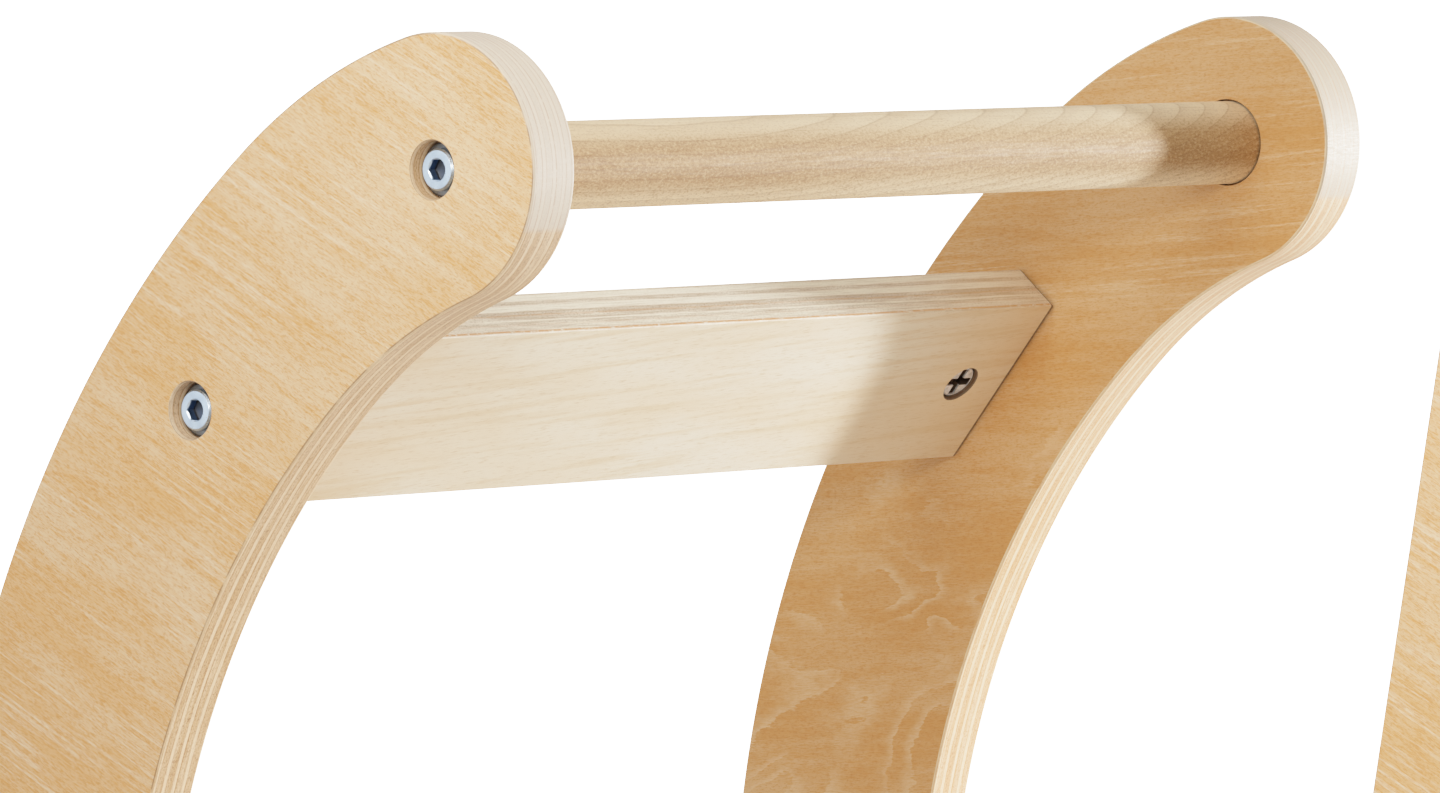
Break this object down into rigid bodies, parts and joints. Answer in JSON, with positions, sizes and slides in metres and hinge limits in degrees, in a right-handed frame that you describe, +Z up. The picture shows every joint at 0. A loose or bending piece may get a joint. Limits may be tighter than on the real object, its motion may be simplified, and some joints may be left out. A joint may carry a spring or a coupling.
{
  "type": "children's rocking seesaw",
  "caption": "Low rocking seesaw for small children: plywood side panels with curled horns and a curved bottom edge, joined by seats, back slats, a foot board and round handles.",
  "frame": {"origin": "on the floor, below the middle of the seesaw, between the two rocking edges", "axes": "+X along the seesaw towards the right seat, +Y across it from the near side panel to the far one, +Z up"},
  "size_m": [1.0432, 0.325, 0.4635],
  "materials": {
    "plywood_veneer": "clear-lacquered rotary-cut face veneer, bare ply edges",
    "plywood_board": "pale plywood, clear satin lacquer",
    "turned_wood": "turned hardwood rod, fine-sanded",
    "zinc_steel": "bright blue-white zinc plating",
    "nut_steel": "dull zinc plating"
  },
  "bodies": {
    "root": {"side_panel_near": "plywood_veneer", "side_panel_far": "plywood_veneer", "handle_centre": "turned_wood", "handle_left": "turned_wood", "handle_right": "turned_wood", "back_slat_left": "plywood_board", "seat_board_left": "plywood_board", "back_slat_right": "plywood_board", "seat_board_right": "plywood_board", "foot_board": "plywood_board", "bolt_handle_centre_near": "zinc_steel", "insert_nut_handle_centre_near": "nut_steel", "bolt_handle_centre_far": "zinc_steel", "insert_nut_handle_centre_far": "nut_steel", "bolt_handle_left_near": "zinc_steel", "insert_nut_handle_left_near": "nut_steel", "bolt_handle_left_far": "zinc_steel", "insert_nut_handle_left_far": "nut_steel", "bolt_handle_right_near": "zinc_steel", "insert_nut_handle_right_near": "nut_steel", "bolt_handle_right_far": "zinc_steel", "insert_nut_handle_right_far": "nut_steel", "bolt_back_slat_left_near": "zinc_steel", "barrel_nut_back_slat_left_near": "nut_steel", "bolt_back_slat_left_far": "zinc_steel", "barrel_nut_back_slat_left_far": "nut_steel", "bolt_back_slat_right_near": "zinc_steel", "barrel_nut_back_slat_right_near": "nut_steel", "bolt_back_slat_right_far": "zinc_steel", "barrel_nut_back_slat_right_far": "nut_steel", "bolt_seat_board_left_near_1": "zinc_steel", "barrel_nut_seat_board_left_near_1": "nut_steel", "bolt_seat_board_left_near_2": "zinc_steel", "barrel_nut_seat_board_left_near_2": "nut_steel", "bolt_seat_board_left_far_1": "zinc_steel", "barrel_nut_seat_board_left_far_1": "nut_steel", "bolt_seat_board_left_far_2": "zinc_steel", "barrel_nut_seat_board_left_far_2": "nut_steel", "bolt_seat_board_right_near_1": "zinc_steel", "barrel_nut_seat_board_right_near_1": "nut_steel", "bolt_seat_board_right_near_2": "zinc_steel", "barrel_nut_seat_board_right_near_2": "nut_steel", "bolt_seat_board_right_far_1": "zinc_steel", "barrel_nut_seat_board_right_far_1": "nut_steel", "bolt_seat_board_right_far_2": "zinc_steel", "barrel_nut_seat_board_right_far_2": "nut_steel", "bolt_foot_board_near_1": "zinc_steel", "barrel_nut_foot_board_near_1": "nut_steel", "bolt_foot_board_near_2": "zinc_steel", "barrel_nut_foot_board_near_2": "nut_steel", "bolt_foot_board_far_1": "zinc_steel", "barrel_nut_foot_board_far_1": "nut_steel", "bolt_foot_board_far_2": "zinc_steel", "barrel_nut_foot_board_far_2": "nut_steel"}
  },
  "joints": []
}
